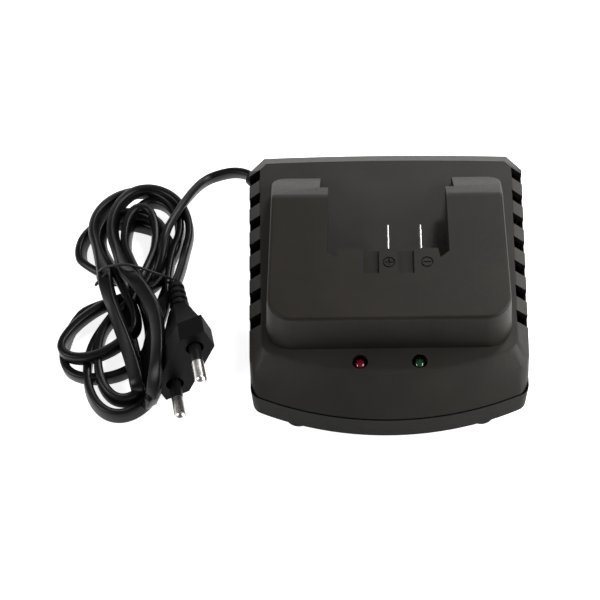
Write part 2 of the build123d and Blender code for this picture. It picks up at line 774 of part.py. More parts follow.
for number, (x, y) in enumerate(board_screw_places, 1):
    parts[f"board_screw_{number}"] = cap_screw(x, y, board_top_z, floor_top_z + 0.4)

for number, (x, y) in enumerate(foot_places, 1):
    parts[f"rubber_foot_{number}"] = rod(x, y, 0, foot_height, foot_radius)

os.makedirs("parts", exist_ok=True)
for name, shape in parts.items():
    export_step(shape, f"parts/{name}.step")
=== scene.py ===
import math
import bmesh
import bpy
from mathutils import Matrix, Vector


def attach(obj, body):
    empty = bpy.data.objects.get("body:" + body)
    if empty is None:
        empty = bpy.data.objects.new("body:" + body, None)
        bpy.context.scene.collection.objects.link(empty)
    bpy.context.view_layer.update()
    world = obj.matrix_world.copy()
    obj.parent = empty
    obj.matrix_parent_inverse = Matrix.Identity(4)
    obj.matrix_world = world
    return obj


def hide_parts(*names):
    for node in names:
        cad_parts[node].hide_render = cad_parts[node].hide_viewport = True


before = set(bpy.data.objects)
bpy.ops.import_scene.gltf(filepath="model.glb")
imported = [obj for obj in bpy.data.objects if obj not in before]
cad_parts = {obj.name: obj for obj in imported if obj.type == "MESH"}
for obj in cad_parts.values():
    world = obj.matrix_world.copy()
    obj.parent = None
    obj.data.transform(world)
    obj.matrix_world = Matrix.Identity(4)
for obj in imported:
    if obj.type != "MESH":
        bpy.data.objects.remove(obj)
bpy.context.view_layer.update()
MM = 0.001
scene = bpy.context.scene
scene.view_settings.view_transform = "Standard"

# ---- Camera ----
# A short telephoto that stands in front of the charger and looks down on it.
camera_data = bpy.data.cameras.new("camera")
camera_data.lens = 73.0
camera_data.sensor_width = 36.0
camera_data.shift_x = -0.1433
camera_data.shift_y = -0.001
camera_data.clip_start = 0.01
camera_data.clip_end = 20.0
camera = bpy.data.objects.new("camera", camera_data)
camera_right = Vector((0.9998, -0.0172, 0.0053))
camera_up = Vector((0.0116, 0.8432, 0.5375))
camera_back = Vector((-0.0137, -0.5374, 0.8432))
camera_x, camera_y, camera_z = -6.626, -237.603, 375.164
camera.matrix_world = Matrix((
    (camera_right.x, camera_up.x, camera_back.x, camera_x * MM),
    (camera_right.y, camera_up.y, camera_back.y, camera_y * MM),
    (camera_right.z, camera_up.z, camera_back.z, camera_z * MM),
    (0.0, 0.0, 0.0, 1.0),
))
scene.collection.objects.link(camera)
scene.camera = camera


# ---- Table top and studio light ----
# A sheet of white paper that runs out to the horizon of a light tent. The tent's walls are bright
# low down and dim overhead. A small softbox above and a large one close on the right light the
# charger, and a long one behind and a weak one on the left draw its edges.
def empty_material(name):
    material = bpy.data.materials.new(name)
    material.use_nodes = True
    tree = material.node_tree
    tree.nodes.clear()
    output = tree.nodes.new("ShaderNodeOutputMaterial")
    return material, tree, output


paper_half_size = 6.0
paper, tree, output = empty_material("white_paper")
paper_diffuse = tree.nodes.new("ShaderNodeBsdfDiffuse")
paper_diffuse.inputs["Color"].default_value = (0.9, 0.9, 0.9, 1.0)
paper_glow = tree.nodes.new("ShaderNodeEmission")
paper_glow.inputs["Color"].default_value = (1.0, 1.0, 1.0, 1.0)
paper_glow.inputs["Strength"].default_value = 0.86
paper_seen = tree.nodes.new("ShaderNodeMixShader")
paper_sum = tree.nodes.new("ShaderNodeAddShader")
path = tree.nodes.new("ShaderNodeLightPath")
mirrored_ray = tree.nodes.new("ShaderNodeMath")
mirrored_ray.operation = "MAXIMUM"
seen_ray = tree.nodes.new("ShaderNodeMath")
seen_ray.operation = "MAXIMUM"
tree.links.new(path.outputs["Is Glossy Ray"], mirrored_ray.inputs[0])
tree.links.new(path.outputs["Is Transmission Ray"], mirrored_ray.inputs[1])
tree.links.new(path.outputs["Is Camera Ray"], seen_ray.inputs[0])
tree.links.new(mirrored_ray.outputs[0], seen_ray.inputs[1])
tree.links.new(paper_diffuse.outputs[0], paper_sum.inputs[0])
tree.links.new(paper_glow.outputs[0], paper_sum.inputs[1])
tree.links.new(seen_ray.outputs[0], paper_seen.inputs["Fac"])
tree.links.new(paper_diffuse.outputs[0], paper_seen.inputs[1])
tree.links.new(paper_sum.outputs[0], paper_seen.inputs[2])
tree.links.new(paper_seen.outputs[0], output.inputs["Surface"])

floor_mesh = bpy.data.meshes.new("table_top")
floor_bm = bmesh.new()
bmesh.ops.create_grid(floor_bm, x_segments=1, y_segments=1, size=paper_half_size)
floor_bm.to_mesh(floor_mesh)
floor_bm.free()
floor_mesh.materials.append(paper)
floor = bpy.data.objects.new("table_top", floor_mesh)
scene.collection.objects.link(floor)

world = bpy.data.worlds.new("light_tent")
scene.world = world
world.use_nodes = True
tree = world.node_tree
tree.nodes.clear()
world_output = tree.nodes.new("ShaderNodeOutputWorld")
tent = tree.nodes.new("ShaderNodeBackground")
tent_way = tree.nodes.new("ShaderNodeTexCoord")
tent_height = tree.nodes.new("ShaderNodeSeparateXYZ")
tent_tone = tree.nodes.new("ShaderNodeValToRGB")
tent_low, tent_high = tent_tone.color_ramp.elements
tent_low.position, tent_low.color = 0.05, (0.52, 0.52, 0.52, 1.0)
tent_high.position, tent_high.color = 0.55, (0.075, 0.077, 0.079, 1.0)
tree.links.new(tent_way.outputs["Generated"], tent_height.inputs[0])
tree.links.new(tent_height.outputs["Z"], tent_tone.inputs["Fac"])
tree.links.new(tent_tone.outputs["Color"], tent.inputs["Color"])
tree.links.new(tent.outputs[0], world_output.inputs["Surface"])

charger_middle = (0.0, 0.0, 0.02)
warm_white, plain_white = (1.0, 0.99, 0.97), (1.0, 1.0, 1.0)
for name, place, aim, size, watts, tint in (
    ("softbox_key", (0.22, 0.40, 0.62), charger_middle, (0.14, 0.14), 2.1, warm_white),
    ("softbox_right", (0.40, -0.04, 0.26), charger_middle, (0.34, 0.34), 2.9, warm_white),
    ("softbox_behind", (-0.05, 0.75, 0.30), charger_middle, (0.9, 0.25), 2.0, plain_white),
    ("softbox_left", (-0.46, -0.12, 0.40), (-0.02, 0.0, 0.02), (0.26, 0.26), 1.4, plain_white),
):
    lamp_data = bpy.data.lights.new(name, "AREA")
    lamp_data.shape = "RECTANGLE"
    lamp_data.size, lamp_data.size_y = size
    lamp_data.energy = watts
    lamp_data.color = tint
    lamp = bpy.data.objects.new(name, lamp_data)
    lamp.location = place
    beam = Vector(aim) - Vector(place)
    lamp.rotation_euler = beam.to_track_quat("-Z", "Y").to_euler()
    scene.collection.objects.link(lamp)


# ---- Bottom tub ----
# The charger's lower half: one injection moulding in dark grey glass-filled nylon with a fine
# spark-eroded texture. Everything inside is fixed to it, and it stands on four rubber feet.
def moulded_plastic(name, colour, roughness, grain=900.0, depth=0.00004, shine=0.35, mottle=0.18):
    # Grain is how fine the surface's texture is, depth how deep in metres. Mottle is how far the
    # colour wanders, as a share of itself.
    gloss_spread = 0.07
    material, tree, output = empty_material(name)
    shader = tree.nodes.new("ShaderNodeBsdfPrincipled")
    shader.inputs["Roughness"].default_value = roughness
    shader.inputs["Specular IOR Level"].default_value = shine
    place = tree.nodes.new("ShaderNodeTexCoord")
    cloud = tree.nodes.new("ShaderNodeTexNoise")
    cloud.inputs["Scale"].default_value = 45.0
    cloud.inputs["Detail"].default_value = 3.0
    tone = tree.nodes.new("ShaderNodeValToRGB")
    dark, light = tone.color_ramp.elements
    dark.position, light.position = 0.3, 0.7
    dark.color = tuple(c * (1.0 - mottle) for c in colour) + (1.0,)
    light.color = tuple(c * (1.0 + mottle) for c in colour) + (1.0,)
    speck = tree.nodes.new("ShaderNodeTexNoise")
    speck.inputs["Scale"].default_value = grain
    speck.inputs["Detail"].default_value = 2.0
    gloss = tree.nodes.new("ShaderNodeMapRange")
    gloss.inputs["To Min"].default_value = roughness - gloss_spread
    gloss.inputs["To Max"].default_value = roughness + gloss_spread
    bump = tree.nodes.new("ShaderNodeBump")
    bump.inputs["Strength"].default_value = 0.5
    bump.inputs["Distance"].default_value = depth
    tree.links.new(place.outputs["Object"], cloud.inputs["Vector"])
    tree.links.new(place.outputs["Object"], speck.inputs["Vector"])
    tree.links.new(cloud.outputs["Fac"], tone.inputs["Fac"])
    tree.links.new(tone.outputs["Color"], shader.inputs["Base Color"])
    tree.links.new(speck.outputs["Fac"], gloss.inputs["Value"])
    tree.links.new(gloss.outputs["Result"], shader.inputs["Roughness"])
    tree.links.new(speck.outputs["Fac"], bump.inputs["Height"])
    tree.links.new(bump.outputs["Normal"], shader.inputs["Normal"])
    tree.links.new(shader.outputs["BSDF"], output.inputs["Surface"])
    return material


def finish_nodes(nodes, material):
    for node in nodes:
        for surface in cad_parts[node].material_slots:
            surface.material = material


case_plastic = moulded_plastic("case_plastic", (0.0195, 0.0176, 0.0154), 0.50, shine=0.22)
# The tub is the cover's nylon painted darker and less shiny: painted shade on the skirt, which
# faces away from the lamps.
tub_shaded_plastic = moulded_plastic("tub_shaded_plastic", (0.0082, 0.0076, 0.0068), 0.55, shine=0.05)
finish_nodes(["bottom_shell"], tub_shaded_plastic)

foot_rubber = moulded_plastic("foot_rubber", (0.012, 0.012, 0.012), 0.75, 1400.0, 0.00006)
finish_nodes([f"rubber_foot_{k}" for k in (1, 2, 3, 4)], foot_rubber)

# ---- Charger electronics ----
# A single-sided board carries the mains filter, transformer, heatsink and lamps, and the cord's
# two cores are soldered at its back. Most of it only shows through the vents.
def metal(name, colour, roughness, grain, depth):
    # The streaks of rolling and plating run up the piece, and grain is how fine they are.
    streak_stretch = (1.0, 1.0, 0.12)
    material, tree, output = empty_material(name)
    shader = tree.nodes.new("ShaderNodeBsdfPrincipled")
    shader.inputs["Metallic"].default_value = 1.0
    place = tree.nodes.new("ShaderNodeTexCoord")
    stretch = tree.nodes.new("ShaderNodeMapping")
    stretch.inputs["Scale"].default_value = streak_stretch
    streak = tree.nodes.new("ShaderNodeTexNoise")
    streak.inputs["Scale"].default_value = grain
    streak.inputs["Detail"].default_value = 3.0
    tone = tree.nodes.new("ShaderNodeValToRGB")
    dark, light = tone.color_ramp.elements
    dark.color = tuple(c * 0.86 for c in colour) + (1.0,)
    light.color = tuple(min(1.0, c * 1.08) for c in colour) + (1.0,)
    gloss = tree.nodes.new("ShaderNodeMapRange")
    gloss.inputs["To Min"].default_value = max(0.04, roughness - 0.08)
    gloss.inputs["To Max"].default_value = roughness + 0.1
    bump = tree.nodes.new("ShaderNodeBump")
    bump.inputs["Strength"].default_value = 0.35
    bump.inputs["Distance"].default_value = depth
    tree.links.new(place.outputs["Object"], stretch.inputs["Vector"])
    tree.links.new(stretch.outputs["Vector"], streak.inputs["Vector"])
    tree.links.new(streak.outputs["Fac"], tone.inputs["Fac"])
    tree.links.new(tone.outputs["Color"], shader.inputs["Base Color"])
    tree.links.new(streak.outputs["Fac"], gloss.inputs["Value"])
    tree.links.new(gloss.outputs["Result"], shader.inputs["Roughness"])
    tree.links.new(streak.outputs["Fac"], bump.inputs["Height"])
    tree.links.new(bump.outputs["Normal"], shader.inputs["Normal"])
    tree.links.new(shader.outputs["BSDF"], output.inputs["Surface"])
    return material


board_laminate = moulded_plastic("board_laminate", (0.20, 0.13, 0.035), 0.45, 260.0, 0.00008)
ferrite = moulded_plastic("ferrite", (0.030, 0.030, 0.032), 0.55, 500.0)
winding_tape = moulded_plastic("winding_tape", (0.62, 0.42, 0.05), 0.35, 300.0)
capacitor_case = moulded_plastic("capacitor_case", (0.55, 0.43, 0.10), 0.35, 400.0)
capacitor_sleeve = moulded_plastic("capacitor_sleeve", (0.03, 0.05, 0.13), 0.3, 300.0)
black_epoxy = moulded_plastic("black_epoxy", (0.016, 0.016, 0.017), 0.5, 1500.0)
aluminium_plate = metal("aluminium_plate", (0.70, 0.71, 0.72), 0.35, 600.0, 0.00003)
tin_plate = metal("tin_plate", (0.66, 0.64, 0.60), 0.3, 700.0, 0.00003)
fuse_glass = moulded_plastic("fuse_glass", (0.55, 0.60, 0.58), 0.08, 300.0, 0.00001)
spacer_nylon = moulded_plastic("spacer_nylon", (0.60, 0.58, 0.52), 0.45, 700.0)
wire_blue = moulded_plastic("wire_blue", (0.02, 0.10, 0.42), 0.35, 700.0)
wire_brown = moulded_plastic("wire_brown", (0.14, 0.055, 0.02), 0.35, 700.0)
screw_steel = metal("screw_steel", (0.55, 0.54, 0.52), 0.32, 900.0, 0.00004)
for nodes, material in (
    (["circuit_board"], board_laminate),
    (["transformer_core", "mains_choke"], ferrite),
    (["transformer_winding"], winding_tape),
    (["filter_capacitor"], capacitor_case),
    (["bulk_capacitor", "output_capacitor"], capacitor_sleeve),
    (["bridge_rectifier", "power_transistor", "output_diode"], black_epoxy),
    (["control_chip", "optocoupler"], black_epoxy),
    (["heatsink"], aluminium_plate),
    (["fuse_clips"], tin_plate),
    (["fuse"], fuse_glass),
    (["red_led_spacer", "green_led_spacer"], spacer_nylon),
    (["mains_wire_1"], wire_blue),
    (["mains_wire_2"], wire_brown),
    ([f"case_screw_{k}" for k in (1, 2, 3, 4)], screw_steel),
    ([f"cradle_screw_{k}" for k in (1, 2, 3, 4)], screw_steel),
    (["board_screw_1", "board_screw_2", "clamp_screw_1", "clamp_screw_2"], screw_steel),
):
    finish_nodes(nodes, material)

# ---- Seam between the halves ----
# The halves meet in a thin sunk joint that runs all round the case. A near-black matte strip lies
# in it as painted shadow, so that the joint reads dark.
front_radius, front_y, back_y = 112.5, -54.4, 54.4
bow_middle_y = front_y + front_radius
bow_angle, bow_steps, bow_reach = math.radians(44), 64, 25
parting_z, seam_height = 12.5, 0.38
seam_sunk, seam_depth = 0.03, 1.1
side_taper = 0.0431
rear_half_width, rear_bow_radius, rear_facets = 45.5, 1150.0, 4
rear_corner = (Vector((50.88, 46.9, 0.0)), Vector((rear_half_width, 53.5, 0.0)))
rear_corner_round, rear_corner_steps = 1.6, 4
front_corner_x, front_corner_y = 46.87, -44.17
front_corner_round, front_corner_steps = 4.5, 8
outside_x, above_z, past = 60, 45, 2


def block(bm, x0, x1, y0, y1, z0, z1):
    # The case is shaped in millimetres, and smooth_finish brings each piece to its real size.
    middle = Matrix.Translation(((x0 + x1) / 2, (y0 + y1) / 2, (z0 + z1) / 2))
    size = Matrix.Diagonal((x1 - x0, y1 - y0, z1 - z0, 1.0))
    bmesh.ops.create_cube(bm, size=1.0, matrix=middle @ size)


def plane_off(bm, point, way, inset=0.0):
    # Cuts off what stands out past a plane, and closes the cut.
    way = Vector(way).normalized()
    everything = list(bm.verts) + list(bm.edges) + list(bm.faces)
    cut = bmesh.ops.bisect_plane(bm, geom=everything, dist=1e-5, clear_outer=True,
                                 plane_co=Vector(point) - way * inset, plane_no=way)
    edges = [g for g in cut["geom_cut"] if isinstance(g, bmesh.types.BMEdge)]
    if edges:
        bmesh.ops.holes_fill(bm, edges=edges, sides=0)


def round_over(bm, place, way_1, way_2, radius, steps, inset):
    # Rounds the edge between two planes that face way_1 and way_2 and meet at place.
    way_1, way_2 = Vector(way_1).normalized(), Vector(way_2).normalized()
    axis = Vector(place) - (way_1 + way_2) * radius / (1.0 + way_1.dot(way_2))
    for step in range(steps + 1):
        way = way_1.slerp(way_2, step / steps)
        plane_off(bm, axis + way * radius, way, inset)


def shape(bm, name):
    # Makes an object of the mesh. Its two slots keep cut faces apart from the first ones.
    bmesh.ops.recalc_face_normals(bm, faces=bm.faces)
    mesh = bpy.data.meshes.new(name)
    bm.to_mesh(mesh)
    bm.free()
    mesh.materials.append(None)
    mesh.materials.append(None)
    piece = bpy.data.objects.new(name, mesh)
    scene.collection.objects.link(piece)
    return piece


def carve(piece, tool, finish=0):
    # Cuts the tool out of the piece. The cut faces take the piece's finish of that number.
    for polygon in tool.data.polygons:
        polygon.material_index = finish
    cut = piece.modifiers.new("carve", "BOOLEAN")
    cut.operation = "DIFFERENCE"
    cut.solver = "EXACT"
    cut.use_self = True
    cut.use_hole_tolerant = True
    cut.object = tool
    bpy.context.view_layer.update()
    result = piece.evaluated_get(bpy.context.evaluated_depsgraph_get())
    carved = bpy.data.meshes.new_from_object(result)
    piece.modifiers.clear()
    old = piece.data
    piece.data = carved
    bpy.data.meshes.remove(old)
    bpy.data.objects.remove(tool)


def smooth_finish(piece, materials, ease=0.0):
    # Brings a piece to its real size, shades it smooth up to its creases and gives it its finish.
    crease = math.radians(28)
    bm = bmesh.new()
    bm.from_mesh(piece.data)
    bmesh.ops.remove_doubles(bm, verts=bm.verts, dist=0.0005)
    bmesh.ops.scale(bm, vec=(MM, MM, MM), verts=bm.verts)
    for face in bm.faces:
        face.smooth = True
    for edge in bm.edges:
        if len(edge.link_faces) != 2 or edge.calc_face_angle(0.0) > crease:
            edge.smooth = False
    piece.data.materials.clear()
    for material in materials:
        piece.data.materials.append(material)
    bm.to_mesh(piece.data)
    bm.free()
    if ease:
        eased = piece.modifiers.new("eased_edges", "BEVEL")
        eased.limit_method = "ANGLE"
        eased.angle_limit = math.radians(40)
        eased.width = ease * MM
        eased.segments = 2
    even = piece.modifiers.new("even", "WEIGHTED_NORMAL")
    even.keep_sharp = True
    even.weight = 80
    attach(piece, "charger")


def bow_cutter(bm, first, last, name):
    # Closes the section outside the bow and sweeps it round the bow's middle.
    far_y = bow_middle_y - front_radius - bow_reach
    over_y, over_z, under_z = last.co.y + past, last.co.z + past, first.co.z - past
    outside = ((over_y, over_z), (over_y, above_z), (far_y, above_z), (far_y, under_z),
               (first.co.y - 0.02, under_z))
    corners = [last] + [bm.verts.new((0, y, z)) for y, z in outside] + [first]
    for here, following in zip(corners, corners[1:]):
        bm.edges.new((here, following))
    middle = (0.0, bow_middle_y, 0.0)
    bmesh.ops.rotate(bm, verts=bm.verts, cent=middle,
                     matrix=Matrix.Rotation(-bow_angle, 3, "Z"))
    bmesh.ops.spin(bm, geom=list(bm.edges) + list(bm.verts), cent=middle, axis=(0, 0, 1),
                   angle=2 * bow_angle, steps=bow_steps)
    bmesh.ops.holes_fill(bm, edges=[e for e in bm.edges if e.is_boundary], sides=0)
    return shape(bm, name)


def rear_ways():
    # The rear wall bows out a little, in flat steps. These are the ways that the steps face.
    for step in range(-rear_facets, rear_facets + 1):
        angle = step / rear_facets * rear_half_width / rear_bow_radius
        yield Vector((math.sin(angle), math.cos(angle), 0))


def side_walls(bm, inset):
    # Cuts a block to the case's plan: sides that draw in, cut rear corners and a bowed rear wall.
    near, far = rear_corner
    for side in (-1, 1):
        side_way, cut_way = (side, -side_taper, 0), (side * (far.y - near.y), near.x - far.x, 0)
        rear_way = (side * 0.04, 1, 0)
        round_over(bm, (side * near.x, near.y, 0), side_way, cut_way,
                   rear_corner_round, rear_corner_steps, inset)
        round_over(bm, (side * far.x, far.y, 0), cut_way, rear_way,
                   rear_corner_round, rear_corner_steps, inset)
        front_corner = (side * front_corner_x, front_corner_y, 0)
        outward = Vector((front_corner[0], front_corner[1] - bow_middle_y, 0))
        round_over(bm, front_corner, side_way, outward,
                   front_corner_round, front_corner_steps, inset)
    for way in rear_ways():
        wall_line = Vector((0, back_y - rear_bow_radius, 0)) + way * rear_bow_radius
        plane_off(bm, wall_line, way, inset)


def case_plan(inset, low_z, high_z, name):
    # A slice of the case between two heights, inside its outer walls by the inset.
    bm = bmesh.new()
    block(bm, -outside_x, outside_x, front_y - past, back_y + past, low_z, high_z)
    side_walls(bm, inset)
    piece = shape(bm, name)
    bow = bmesh.new()
    foot = bow.verts.new((0, bow_middle_y - front_radius + inset, low_z - past))
    head = bow.verts.new((0, bow_middle_y - front_radius + inset, high_z + past))
    bow.edges.new((foot, head))
    carve(piece, bow_cutter(bow, foot, head, "bow_cutter"))
    return piece


seam_shadow_strip = case_plan(seam_sunk, parting_z, parting_z + seam_height, "seam_shadow_strip")
carve(seam_shadow_strip, case_plan(seam_depth, parting_z - 1, parting_z + 2, "seam_inside"))
# A near-black, dull finish: painted shadow in the joint.
seam_painted_shadow = moulded_plastic("seam_painted_shadow", (0.0012, 0.0012, 0.0012), 0.9, 1500.0, shine=0.05)
smooth_finish(seam_shadow_strip, [seam_painted_shadow])

# ---- Top cover ----
# The upper half, moulded in the same nylon: a deck with two lamp holes, shoulders that slope down
# to the side and rear walls with vents through them, and a bowed front that rolls into the sides.
wall_top_z, deck_z, wall = 17.8, 22.0, 2.2
side_half_width = 48.86
slope_run_side, slope_run_back, slope_run_front = 4.25, 5.9, 13.0
slope_bottom, slope_top = math.radians(48), math.radians(24)
slope_drop = deck_z - parting_z
seam_top_z = parting_z + 0.4
side_slope_way = Vector((deck_z - wall_top_z, 0.0, slope_run_side))
brow_radius, brow_steps, front_steps = 4.0, 4, 11
slope_overrun = 0.05
eaves_round, eaves_steps = 0.9, 3
deck_round, deck_steps = 1.4, 3
rear_corner_top = (45.3, 46.2)
blend_steps = 9


def swing(bm, vertex, distance, height, angle, steps):
    # Draws an arc on from a point of the front's section, and gives back the arc's far end.
    turned = bmesh.ops.spin(bm, geom=[vertex], cent=(0, bow_middle_y - distance, height),
                            axis=(1, 0, 0), angle=angle, steps=steps)
    return [g for g in turned["geom_last"] if isinstance(g, bmesh.types.BMVert)][0]


def bow_slope(inset, name):
    # The front's section: a wide arc from the seam up to the brow, which a tight arc rolls into
    # the deck.
    chord = math.hypot(slope_run_front, slope_drop)
    radius = chord / 2 / math.sin((slope_bottom - slope_top) / 2)
    distance = front_radius - radius * math.sin(slope_bottom)
    height = parting_z - radius * math.cos(slope_bottom)
    brow_distance = front_radius - slope_run_front - brow_radius * math.tan(slope_top / 2)
    brow_height = deck_z - brow_radius
    trim = math.atan(brow_radius * math.tan(slope_top / 2) / radius)
    start = slope_bottom + slope_overrun
    bow = bmesh.new()
    foot = bow.verts.new((0, bow_middle_y - distance - (radius - inset) * math.sin(start),
                          height + (radius - inset) * math.cos(start)))
    swept = slope_top + trim - slope_bottom - slope_overrun
    head = swing(bow, foot, distance, height, swept, front_steps)
    brow_y = bow_middle_y - brow_distance - (brow_radius - inset) * math.sin(slope_top)
    brow_z = brow_height + (brow_radius - inset) * math.cos(slope_top)
    brow = bow.verts.new((0, brow_y, brow_z))
    bow.edges.new((head, brow))
    top = swing(bow, brow, brow_distance, brow_height, -slope_top, brow_steps)
    return bow_cutter(bow, foot, top, name)


def cover_form(inset, low_z, name):
    # The cover's closed outer form, inside its outer faces by the inset.
    bm = bmesh.new()
    block(bm, -outside_x, outside_x, front_y - past, back_y + past, low_z, deck_z - inset)
    side_walls(bm, inset)
    near, far = rear_corner
    for side in (-1, 1):
        side_way = (side, -side_taper, 0)
        lean = Vector((side * side_slope_way.x, -side_taper * side_slope_way.x, side_slope_way.z))
        round_over(bm, (side * side_half_width, 0, wall_top_z), side_way, lean,
                   eaves_round, eaves_steps, inset)
        round_over(bm, (side * (side_half_width - slope_run_side), 0, deck_z), lean, (0, 0, 1),
                   deck_round, deck_steps, inset)
        foot = Vector((side * near.x, near.y, wall_top_z))
        across = Vector((side * rear_corner_top[0], rear_corner_top[1], deck_z)) - foot
        along = Vector((side * (far.x - near.x), far.y - near.y, 0))
        cut_way = (side * (far.y - near.y), near.x - far.x, 0)
        round_over(bm, foot, cut_way, along.cross(across) * side,
                   eaves_round, eaves_steps, inset)
        # The bow runs into the shoulder and the side wall in two wide rolls.
        for place, outer_way, steepness, radius in (
            ((side * 45.25, -34.6, 19.95), lean, 30.5, 9.0),
            ((side * 47.08, -41.2, 15.1), Vector(side_way), 42.6, 6.0),
        ):
            outward = Vector((place[0], place[1] - bow_middle_y, 0)).normalized()
            steep = math.radians(steepness)
            bow_way = outward * math.sin(steep) + Vector((0, 0, math.cos(steep)))
            round_over(bm, place, outer_way, bow_way, radius, blend_steps, inset)
    for way in rear_ways():
        wall_line = Vector((0, back_y - rear_bow_radius, wall_top_z)) + way * rear_bow_radius
        slope_way = way * (deck_z - wall_top_z) + Vector((0, 0, slope_run_back))
        round_over(bm, wall_line, way, slope_way, eaves_round, eaves_steps, inset)
    piece = shape(bm, name)
    carve(piece, bow_slope(inset, "bow_cutter"))
    return piece


# Faces cut into the cover take its second finish, which is painted shade.
painted_shade_finish = 1
cover = cover_form(0.0, seam_top_z, "top_cover_piece")
carve(cover, cover_form(wall, seam_top_z - 3, "cover_inside"), painted_shade_finish)
slots_bm = bmesh.new()
pockets_bm = bmesh.new()

# Side vents: each slot is open through the shoulder and stops at a thinned wall below it.
side_slots, side_slot_first_y, side_slot_pitch, side_slot_half = 7, -19.7, 10.35, 2.35
side_slot_low_z, pocket_low_z, pocket_high_z = 15.4, parting_z + 1.8, 16.0
thinned_wall = 1.0
for index in range(side_slots):
    slot_y = side_slot_first_y + side_slot_pitch * index
    slot_front, slot_back = slot_y - side_slot_half, slot_y + side_slot_half
    half_x = side_half_width + side_taper * slot_y
    inner_x = half_x - slope_run_side - 0.1
    for side in (-1, 1):
        x0, x1 = sorted((side * inner_x, side * outside_x))
        block(slots_bm, x0, x1, slot_front, slot_back, side_slot_low_z, deck_z + 1)
        x0, x1 = sorted((side * inner_x, side * (half_x - thinned_wall)))
        block(pockets_bm, x0, x1, slot_front, slot_back, pocket_low_z, pocket_high_z)

# Rear vents, right through the wall.
rear_slots, rear_slot_pitch, rear_slot_half = 10, 8.6, 1.7
rear_slot_low_z, rear_slot_high_z = 14.6, wall_top_z + 0.15
for index in range(rear_slots):
    slot_x = (index - (rear_slots - 1) / 2) * rear_slot_pitch
    block(slots_bm, slot_x - rear_slot_half, slot_x + rear_slot_half, back_y - 4.2, back_y + 1,
          rear_slot_low_z, rear_slot_high_z)

# Holes in the deck: for the two lamps, for the transformer's core, which stands up into the
# cradle, and for the two blades' tails.
lamp_hole_x, lamp_hole_y, lamp_hole_z = 9.95, front_y + 17.3, 21
lamp_hole_radius, lamp_hole_depth = 2.65, 6
core_hole_half, core_hole_front, core_hole_back = 15.5, -29.0, -10.8
tail_hole_half, tail_hole_front, tail_hole_back = 0.9, -9.2, -5.8
hole_low_z, hole_high_z = deck_z - wall - 1, deck_z + 1
for lamp_x in (-lamp_hole_x, lamp_hole_x):
    lamp_place = Matrix.Translation((lamp_x, lamp_hole_y, lamp_hole_z))
    bmesh.ops.create_cone(slots_bm, cap_ends=True, segments=48, radius1=lamp_hole_radius,
                          radius2=lamp_hole_radius, depth=lamp_hole_depth, matrix=lamp_place)
block(slots_bm, -core_hole_half, core_hole_half, core_hole_front, core_hole_back,
      hole_low_z, hole_high_z)
for blade_x in (0.1, 11.35):
    block(slots_bm, blade_x - tail_hole_half, blade_x + tail_hole_half,
          tail_hole_front, tail_hole_back, hole_low_z, hole_high_z)
carve(cover, shape(slots_bm, "slots"), painted_shade_finish)
carve(cover, shape(pockets_bm, "pockets"), painted_shade_finish)
# The cover's inside and the faces cut for its vents, pockets and holes take a near-black, dull
# finish: painted shade in the hollows.
inner_painted_shade = moulded_plastic("inner_painted_shade", (0.0030, 0.0028, 0.0026), 0.75, shine=0.05)
smooth_finish(cover, [case_plastic, inner_painted_shade], ease=0.15)
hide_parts("top_cover")

# ---- Battery cradle ----
# A hollow horseshoe moulding screwed down on the deck. A battery slides in from behind, under the
# lips along the inside of its two arms, until it meets the pads with the plus and minus marks.
holder_plastic = moulded_plastic("holder_plastic", (0.0150, 0.0127, 0.0107), 0.48, shine=0.16)
cradle_half_low, cradle_half_high = 41.8, 40.3
cradle_front_low, cradle_front_high = -32.0, -30.2
cradle_front_round, cradle_front_steps = 9.0, 14
arm_end_y, arm_end_round, arm_end_steps = 37.1, 5.0, 10
case_height, roof_thickness = 38.0, 2.6
arm_slopes = (((0, 20.5, case_height), (0, 3.9, 6.7)), ((0, 27.2, 34.1), (0, 7.4, 9.9)))
groove_half, lip_half, lip_under_z, lip_end_y, pad_wall_y = 23.7, 20.65, 31.0, 26.7, -2.3


def round_edges(bm, edges, radius, steps, clamp=False):
    bmesh.ops.bevel(bm, geom=edges, offset=radius, offset_type="OFFSET", segments=steps,
                    profile=0.5, affect="EDGES", material=-1, clamp_overlap=clamp)


def run_of(edge):
    return edge.verts[1].co - edge.verts[0].co


def stands_up(along, rise, slope):
    # An edge is upright when it rises enough, and much more than it runs to the side.
    return abs(along.z) > rise and abs(along.z) > slope * math.hypot(along.x, along.y)


def cradle_form(inset, name):
    # The cradle's closed outer form: walls that draw in towards the top, arms that slope down to
    # their ends in two steps, and upright corners with wide rounds.
    bm = bmesh.new()
    block(bm, -cradle_half_low + inset, cradle_half_low - inset, cradle_front_low + inset,
          arm_end_y - inset, deck_z, case_height - inset)
    for v in bm.verts:
        if v.co.z > deck_z + 1:
            v.co.x = math.copysign(cradle_half_high - inset, v.co.x)
            v.co.y = cradle_front_high + inset if v.co.y < 0 else v.co.y
    for slope_start, slope_way in arm_slopes:
        plane_off(bm, slope_start, slope_way, inset)
    front = [e for e in bm.edges if stands_up(run_of(e), 3, 3) and e.verts[0].co.y < 0]
    round_edges(bm, front, cradle_front_round - inset, cradle_front_steps)
    arm_end = arm_end_y - inset - 0.5
    rear = [e for e in bm.edges if stands_up(run_of(e), 3, 3) and e.verts[0].co.y > arm_end]
    round_edges(bm, rear, arm_end_round - inset / 2, arm_end_steps)
    return shape(bm, name)


